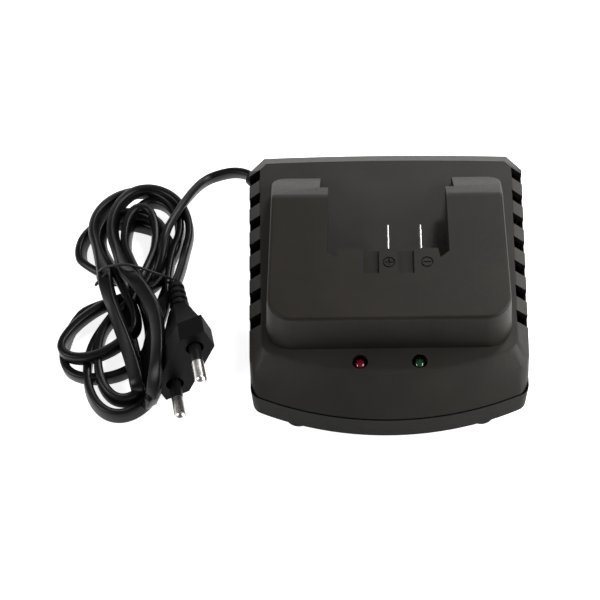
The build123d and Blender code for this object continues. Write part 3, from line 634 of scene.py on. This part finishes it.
def soften(piece, wanted, radius, steps, angle):
    # Rounds the edges that are sharper than the angle and that wanted picks by middle and run.
    bm = bmesh.new()
    bm.from_mesh(piece.data)
    bmesh.ops.remove_doubles(bm, verts=bm.verts, dist=0.02)
    bmesh.ops.dissolve_limit(bm, angle_limit=math.radians(0.4), verts=bm.verts, edges=bm.edges)
    edges = [e for e in bm.edges if e.calc_face_angle(0.0) > math.radians(angle)
             and wanted((e.verts[0].co + e.verts[1].co) / 2, run_of(e))]
    round_edges(bm, edges, radius, steps)
    bm.to_mesh(piece.data)
    bm.free()


def cut_block(piece, name, *corners):
    bm = bmesh.new()
    block(bm, *corners)
    carve(piece, shape(bm, name))


def across_arms(middle, along):
    # The two edges where the arms start to slope and where the slope steepens.
    return abs(along.x) > 20 and 15 < middle.y < 30


def on_the_rim(middle, along):
    return middle.z > deck_z + 0.5 and not stands_up(along, 2.0, 2)


cradle = cradle_form(0.0, "battery_cradle_piece")
soften(cradle, across_arms, radius=1.4, steps=5, angle=8.0)
soften(cradle, on_the_rim, radius=1.1, steps=5, angle=24.0)
away, over_z = 60, case_height + 1
roof_z = case_height - roof_thickness
inside = cradle_form(wall, "cradle_inside")
cut_block(inside, "cradle_roof", -away, away, -away, away, roof_z, case_height + 5)
cut_block(inside, "bay_walls", -groove_half - wall, groove_half + wall, pad_wall_y - wall, away,
          deck_z - 1, over_z)
carve(cradle, inside)
for name, half, front, low_z, high_z in (
    ("bay_low", groove_half, pad_wall_y, deck_z - 1, lip_under_z),
    ("bay_high", lip_half, pad_wall_y, lip_under_z - 1, over_z),
    ("bay_mouth", groove_half, lip_end_y, lip_under_z - 1, over_z),
):
    cut_block(cradle, name, -half, half, front, away, low_z, high_z)

# Two channels part the pads, a window under them lets the blades out, and a slanting relief at
# each lip's front end frees the battery's shoulder.
channel_inner_x, channel_outer_x, channel_front_y, channel_depth = 3.2, 8.6, -12.3, 1.5
window_half = 14.8
bay_bm = bmesh.new()
for side in (-1, 1):
    x0, x1 = sorted((side * channel_inner_x, side * channel_outer_x))
    block(bay_bm, x0, x1, channel_front_y, pad_wall_y + 1, case_height - channel_depth, over_z)
block(bay_bm, -window_half, window_half, pad_wall_y - wall - 1, pad_wall_y + 1, deck_z - 1, roof_z)
carve(cradle, shape(bay_bm, "pad_channels"))
relief_rise = 10
relief_corners = (
    (lip_half + 0.02, pad_wall_y - 1.1), (17.5, pad_wall_y - 3.9),
    (16.7, pad_wall_y + 1), (lip_half + 0.02, pad_wall_y + 1),
)
for side in (-1, 1):
    relief_bm = bmesh.new()
    verts = [relief_bm.verts.new((side * x, y, lip_under_z)) for x, y in relief_corners]
    lifted = bmesh.ops.extrude_face_region(relief_bm, geom=[relief_bm.faces.new(verts)])["geom"]
    bmesh.ops.translate(relief_bm, vec=(0, 0, relief_rise),
                        verts=[g for g in lifted if isinstance(g, bmesh.types.BMVert)])
    carve(cradle, shape(relief_bm, "pad_relief"))

# The plus and the minus are sunk half a millimetre into the pads, each in a ring.
mark_y, mark_low_z, mark_over_z = -7.9, 37.5, 38.5
ring_inner, ring_outer, ring_steps = 1.66, 2.12, 40
bar_half, bar_front, bar_back = 1.35, -8.13, -7.67
upright_half, upright_front, upright_back = 0.25, -9.2, -6.6
ring_section = ((ring_inner, mark_low_z), (ring_outer, mark_low_z),
                (ring_outer, mark_over_z), (ring_inner, mark_over_z))
mark_bm = bmesh.new()
for mark_x, upright_bar in ((0.1, True), (12.9, False)):
    rim = [mark_bm.verts.new((mark_x + r, mark_y, z)) for r, z in ring_section]
    rim_edges = [mark_bm.edges.new((a, b)) for a, b in zip(rim, rim[1:] + rim[:1])]
    bmesh.ops.spin(mark_bm, geom=rim + rim_edges, cent=(mark_x, mark_y, 0), axis=(0, 0, 1),
                   angle=2 * math.pi, steps=ring_steps, use_merge=True)
    block(mark_bm, mark_x - bar_half, mark_x + bar_half, bar_front, bar_back,
          mark_low_z, mark_over_z)
    if upright_bar:
        block(mark_bm, mark_x - upright_half, mark_x + upright_half, upright_front, upright_back,
              37.45, 38.55)
carve(cradle, shape(mark_bm, "pad_marks"))
smooth_finish(cradle, [holder_plastic], ease=0.25)
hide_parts("battery_cradle")
finish_nodes(["terminal_block", "cord_clamp"], holder_plastic)

# ---- Contact blades ----
# Two stamped blades of nickel-plated brass, 0.6 mm thick, on edge in the cradle's mouth. Their
# tails are pressed through the insulating block and soldered to the board.
nickel_brass = metal("nickel_brass", (0.93, 0.90, 0.86), 0.38, 800.0, 0.00002)


def eased_copy(node, name, material, width, steps):
    # A CAD piece's own shape with its sharp edges rounded by the width, in millimetres.
    sharp = math.radians(25)
    bm = bmesh.new()
    bm.from_mesh(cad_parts[node].data)
    bmesh.ops.scale(bm, vec=(1 / MM, 1 / MM, 1 / MM), verts=bm.verts)
    bmesh.ops.remove_doubles(bm, verts=bm.verts, dist=0.002)
    bmesh.ops.dissolve_limit(bm, angle_limit=math.radians(1.5), verts=bm.verts, edges=bm.edges)
    edges = [e for e in bm.edges if e.calc_face_angle(0.0) > sharp]
    round_edges(bm, edges, width, steps, clamp=True)
    piece = shape(bm, name)
    smooth_finish(piece, [material])
    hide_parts(node)
    return piece


for node in ("positive_blade", "negative_blade"):
    eased_copy(node, node + "_piece", nickel_brass, width=0.22, steps=4)


# ---- Indicator lamps ----
# A red and a green 5 mm lamp with tinted clear domes. Each stands on a nylon spacer on the board
# and looks out through its hole in the deck.
def lens(name, colour):
    material, tree, output = empty_material(name)
    shader = tree.nodes.new("ShaderNodeBsdfPrincipled")
    shader.inputs["Roughness"].default_value = 0.05
    shader.inputs["IOR"].default_value = 1.5
    shader.inputs["Coat Weight"].default_value = 1.0
    place = tree.nodes.new("ShaderNodeTexCoord")
    cloud = tree.nodes.new("ShaderNodeTexNoise")
    cloud.inputs["Scale"].default_value = 260.0
    tone = tree.nodes.new("ShaderNodeValToRGB")
    dark, light = tone.color_ramp.elements
    dark.color = tuple(c * 0.7 for c in colour) + (1.0,)
    light.color = tuple(c * 1.25 for c in colour) + (1.0,)
    tree.links.new(place.outputs["Object"], cloud.inputs["Vector"])
    tree.links.new(cloud.outputs["Fac"], tone.inputs["Fac"])
    tree.links.new(tone.outputs["Color"], shader.inputs["Base Color"])
    tree.links.new(shader.outputs["BSDF"], output.inputs["Surface"])
    return material


finish_nodes(["red_led"], lens("red_lens", (0.13, 0.002, 0.006)))
finish_nodes(["green_led"], lens("green_lens", (0.010, 0.05, 0.022)))

# ---- Mains cord ----
# Flat two-core flex in black PVC, 5.2 by 2.9 mm. It leaves the case at the left rear corner. The
# rest is wound as a figure of eight in a hank, whose loose turns stand on edge. Two lie flat.
cord_pvc = moulded_plastic("cord_pvc", (0.0030, 0.0030, 0.0031), 0.34, grain=160.0,
                           depth=0.000002, shine=0.26, mottle=0.25)
cord_width = 5.2 * MM
cord_thickness = 2.9 * MM
# The free stretch from the case to the waist of the hank: its points, with how far the cord leans
# over from standing on edge at each.
cord_lead = [
    (-51.31, 52.72, 8.0, 10), (-52.9, 54.0, 8.0, 10), (-58.2, 55.2, 7.6, 10),
    (-63.6, 54.6, 6.6, 11), (-68.3, 52.8, 6.2, 14), (-72.1, 47.2, 8.0, 20),
    (-76.2, 37.4, 10.6, 26), (-80.9, 25.3, 12.0, 26), (-81.7, 18.4, 11.2, 24),
    (-82.5, 13.2, 9.0, 18), (-84.5, 8.0, 5.5, 10), (-86.0, 3.0, 3.0, 0),
]
# Each turn: its middle, its half widths to the left and right, its half length and its slant, the
# cord's height where the turn starts, half way and where it ends, its lean at those three places,
# and the place at the waist that it leaves by. The two turns that lie flat are folded back on
# themselves, and each is a list of its own points and leans.
cord_turns = [
    ((-103.5, -15.0), (10.0, 20.0), 17.0, -20, (3.0, 2.9, 3.0), (0, 0, 20), (-90.0, 4.0, 3.6)),
    ((-102.2, 22.5), (11.5, 22.5), 12.5, 0, (3.4, 3.0, 3.2), (20, 20, 0), (-93.0, 3.0, 3.2)),
    ((-92.7, -26.6), (13.0, 14.0), 20.3, 0, (3.2, 2.9, 3.2), (0, 25, 20), (-90.0, 4.0, 6.0)),
    ((-88.5, 27.0), (8.0, 11.5), 17.0, 0, (5.5, 4.0, 4.0), (0, 0, 0), (-84.0, 3.5, 5.0)),
    ((-101.0, -12.5), (7.5, 11.0), 17.0, -48, (5.5, 7.0, 7.5), (0, 0, 20), (-95.5, 4.5, 8.0)),
    ((-97.3, 24.3), (8.5, 15.5), 12.0, 8, (8.0, 7.0, 5.5), (30, 20, 0), (-87.5, 3.0, 6.0)),
    ((-91.5, -22.5), (10.5, 11.8), 19.0, 0, (6.0, 3.6, 7.0), (0, 25, 10), (-88.0, 4.0, 8.5)),
    ((-91.0, 25.0), (5.2, 5.7), 12.5, 2, (9.0, 9.0, 6.5), (10, 0, 20), (-90.5, 3.0, 7.0)),
    [
        (-94.0, -6.0, 6.5, 60), (-91.6, -16.0, 5.4, 90), (-88.6, -26.0, 4.2, 90),
        (-86.6, -33.0, 2.8, 90), (-86.0, -37.8, 2.8, 92), (-86.0, -38.0, 8.4, 96),
        (-87.3, -32.7, 8.8, 105), (-89.1, -27.3, 9.2, 112), (-91.7, -20.4, 9.8, 120),
        (-95.1, -12.3, 10.6, 130), (-98.4, -4.3, 11.2, 138), (-100.8, 2.7, 11.4, 116),
        (-101.6, 7.0, 10.8, 84),
    ],
    ((-92.0, 30.0), (16.5, 15.5), 17.0, 0, (9.0, 6.5, 4.5), (48, 0, 0), (-80.2, 4.0, 4.6)),
    [
        (-80.8, -5.0, 5.0, 80), (-84.0, -18.0, 4.5, 90), (-84.5, -30.0, 3.5, 90),
        (-83.4, -39.0, 3.0, 90), (-82.0, -43.6, 5.0, 92), (-80.0, -42.6, 11.5, 96),
        (-78.6, -37.6, 16.4, 105), (-78.4, -29.4, 17.6, 118), (-79.2, -20.4, 17.0, 124),
        (-81.6, -11.2, 16.0, 124), (-85.2, -4.5, 15.0, 120), (-89.4, 1.6, 14.4, 110),
        (-94.0, 6.0, 13.8, 80),
    ],
    ((-88.3, 28.0), (13.0, 15.5), 19.0, 8, (11.0, 8.5, 5.5), (40, 0, 0), None),
]
cord_tail = [(-75.0, 9.0, 7.6, 0), (-76.2, 3.0, 8.5, 0)]
turn_points, turn_sweep = 10, 250
front_turn_start, rear_turn_start = 145, 215


def turn_route(turn, lobe_start, sweep):
    # One open turn of the hank as points and leans, round its lobe from the waist to the waist.
    middle, widths, length, slant, heights, leans, waist = turn
    slant_turn = Matrix.Rotation(math.radians(slant), 2)
    blunt = min(1.0, 0.3 + 0.1 * min(widths))
    points = []
    for step in range(turn_points):
        part = step / (turn_points - 1)
        angle = math.radians(lobe_start + sweep * part)
        across = widths[0] if math.cos(angle) < 0 else widths[1]
        across *= math.copysign(abs(math.cos(angle)) ** blunt, math.cos(angle))
        x, y = slant_turn @ Vector((across, length * math.sin(angle)))
        first, last = (0, 1) if part < 0.5 else (1, 2)
        blend = 2 * part - first
        height = heights[first] + (heights[last] - heights[first]) * blend
        lean = leans[first] + (leans[last] - leans[first]) * blend
        points.append((middle[0] + x, middle[1] + y, height, lean))
    if waist:
        points.append(waist + (lean,))
    return points


cord_route = list(cord_lead)
for number, turn in enumerate(cord_turns):
    if isinstance(turn, list):
        cord_route += turn
    elif number % 2 == 0:
        cord_route += turn_route(turn, front_turn_start, turn_sweep)
    else:
        cord_route += turn_route(turn, rear_turn_start, -turn_sweep)
cord_route += cord_tail
cord_lean = [point[3] for point in cord_route]

route_data = bpy.data.curves.new("cord_route", "CURVE")
route_data.dimensions = "3D"
route_data.resolution_u = 12
route_spline = route_data.splines.new("NURBS")
route_spline.points.add(len(cord_route) - 1)
for point, place in zip(route_spline.points, cord_route):
    point.co = (place[0] * MM, place[1] * MM, place[2] * MM, 1.0)
route_spline.order_u = 3
route_spline.use_endpoint_u = True
route = bpy.data.objects.new("cord_route", route_data)
scene.collection.objects.link(route)
bpy.context.view_layer.update()
drawn_route = route.evaluated_get(bpy.context.evaluated_depsgraph_get())
route_mesh = bpy.data.meshes.new_from_object(drawn_route)
cord_path = [v.co.copy() for v in route_mesh.vertices]
bpy.data.objects.remove(route)
bpy.data.meshes.remove(route_mesh)

# The section is a flat oblong with rounded edges. It is drawn once, extruded ring by ring along
# the route and leant over at each. On a steep rise the cord keeps the side that it last had.
cord_bm = bmesh.new()
edge_radius = 1.05 * MM
section_points = 16
level_enough = 0.45
bmesh.ops.create_circle(cord_bm, segments=section_points, radius=edge_radius,
                        matrix=Matrix.Rotation(math.pi / section_points, 4, "Z"))
for v in cord_bm.verts:
    v.co.x += math.copysign(cord_width / 2 - edge_radius, v.co.x)
    v.co.y += math.copysign(cord_thickness / 2 - edge_radius, v.co.y)
ring = list(cord_bm.edges)
straight_up = Vector((0.0, 0.0, 1.0))
side = straight_up.cross(cord_path[1] - cord_path[0]).normalized()
before = Matrix.Identity(4)
for index, place in enumerate(cord_path):
    ahead = cord_path[min(index + 1, len(cord_path) - 1)] - cord_path[max(index - 1, 0)]
    ahead.normalize()
    level = straight_up.cross(ahead)
    if level.length > level_enough:
        level.normalize()
        side = level if level.dot(side) > 0 else -level
    side = (side - ahead * side.dot(ahead)).normalized()
    rise = ahead.cross(side)
    along = index / (len(cord_path) - 1) * (len(cord_lean) - 1)
    low = min(int(along), len(cord_lean) - 2)
    lean = math.radians(cord_lean[low] + (cord_lean[low + 1] - cord_lean[low]) * (along - low))
    wide = rise * math.cos(lean) + side * math.sin(lean)
    thin = ahead.cross(wide)
    here = Matrix((
        (wide.x, thin.x, ahead.x, place.x),
        (wide.y, thin.y, ahead.y, place.y),
        (wide.z, thin.z, ahead.z, place.z),
        (0.0, 0.0, 0.0, 1.0),
    ))
    if index:
        grown = bmesh.ops.extrude_edge_only(cord_bm, edges=ring)["geom"]
        verts = [g for g in grown if isinstance(g, bmesh.types.BMVert)]
        ring = [g for g in grown if isinstance(g, bmesh.types.BMEdge)]
    else:
        verts = list(cord_bm.verts)
    bmesh.ops.transform(cord_bm, matrix=here @ before.inverted(), verts=verts)
    before = here
bmesh.ops.holes_fill(cord_bm, edges=[e for e in cord_bm.edges if e.is_boundary], sides=0)
bmesh.ops.recalc_face_normals(cord_bm, faces=cord_bm.faces)
for face in cord_bm.faces:
    face.smooth = True
cord_mesh = bpy.data.meshes.new("mains_cord")
cord_bm.to_mesh(cord_mesh)
cord_bm.free()
cord_mesh.materials.append(cord_pvc)
mains_cord = bpy.data.objects.new("mains_cord", cord_mesh)
scene.collection.objects.link(mains_cord)
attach(mains_cord, "charger")
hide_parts("power_cord", "cord_hank")

# ---- Hank tie ----
# A black plastic-covered wire, wound once round the waist of the hank. Its two ends are twisted
# together on the outer side.
tie_wire = moulded_plastic("tie_wire", (0.010, 0.010, 0.010), 0.4, 900.0)
loop_radius, end_radius = 0.5, 0.42
loop_places = [
    (-104.8, 6.9, 6.0), (-104.4, 7.0, 10.4), (-102.2, 7.2, 13.8), (-98.6, 6.9, 15.8),
    (-95.0, 7.0, 16.6), (-91.4, 6.8, 16.4), (-87.2, 6.2, 15.0), (-83.4, 5.9, 12.8),
    (-80.0, 5.9, 10.2), (-77.6, 6.4, 7.2), (-75.4, 7.0, 4.2), (-76.4, 7.8, 1.6),
    (-82.0, 8.6, 0.8), (-98.0, 8.6, 0.8), (-103.8, 7.6, 2.0),
]
twist_points, twist_turns = 15, 3.5
twist_start, twist_run = (-100.0, 5.8, 13.5), (-4.6, -2.8, -3.8)


def wire_piece(name, places, radius, closed):
    data = bpy.data.curves.new(name, "CURVE")
    data.dimensions = "3D"
    data.resolution_u = 8
    data.bevel_depth = radius * MM
    data.bevel_resolution = 3
    data.use_fill_caps = True
    spline = data.splines.new("NURBS")
    spline.points.add(len(places) - 1)
    for point, place in zip(spline.points, places):
        point.co = (place[0] * MM, place[1] * MM, place[2] * MM, 1.0)
    spline.order_u = 3
    spline.use_endpoint_u = not closed
    spline.use_cyclic_u = closed
    data.materials.append(tie_wire)
    piece = bpy.data.objects.new(name, data)
    scene.collection.objects.link(piece)
    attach(piece, "charger")
    return piece


tie_loop = wire_piece("hank_tie_loop", loop_places, loop_radius, closed=True)
twist_places = [[], []]
for step in range(twist_points):
    part = step / (twist_points - 1)
    angle = part * twist_turns * 2 * math.pi
    for strand, places in enumerate(twist_places):
        turn = angle + strand * math.pi
        x, y, z = (start + run * part for start, run in zip(twist_start, twist_run))
        places.append((x, y + end_radius * math.cos(turn), z + end_radius * math.sin(turn)))
tie_ends = [wire_piece(f"hank_tie_end_{number}", places, end_radius, closed=False)
            for number, places in enumerate(twist_places, 1)]
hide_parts("hank_tie")

# ---- Mains plug ----
# A two-pole plug moulded onto the cord in black PVC, with six sides and a ribbed strain relief.
# Its round pins are nickel-plated brass, sleeved for half their length.
plug_pvc = moulded_plastic("plug_pvc", (0.0030, 0.0030, 0.0031), 0.42, depth=0.00003, shine=0.07)
plug_pieces = [
    eased_copy("plug_body", "plug_body_piece", plug_pvc, width=0.7, steps=4),
    eased_copy("plug_strain_relief", "plug_relief_piece", plug_pvc,
               width=0.3, steps=3),
    eased_copy("cord_strain_relief", "cord_relief_piece", cord_pvc,
               width=0.3, steps=3),
]
sleeve_pvc = moulded_plastic("sleeve_pvc", (0.008, 0.008, 0.009), 0.4, 900.0, shine=0.25)
finish_nodes(["pin_sleeve_1", "pin_sleeve_2"], sleeve_pvc)
pin_metal = metal("pin_metal", (0.80, 0.78, 0.74), 0.28, 700.0, 0.00002)
finish_nodes(["plug_pin_1", "plug_pin_2"], pin_metal)
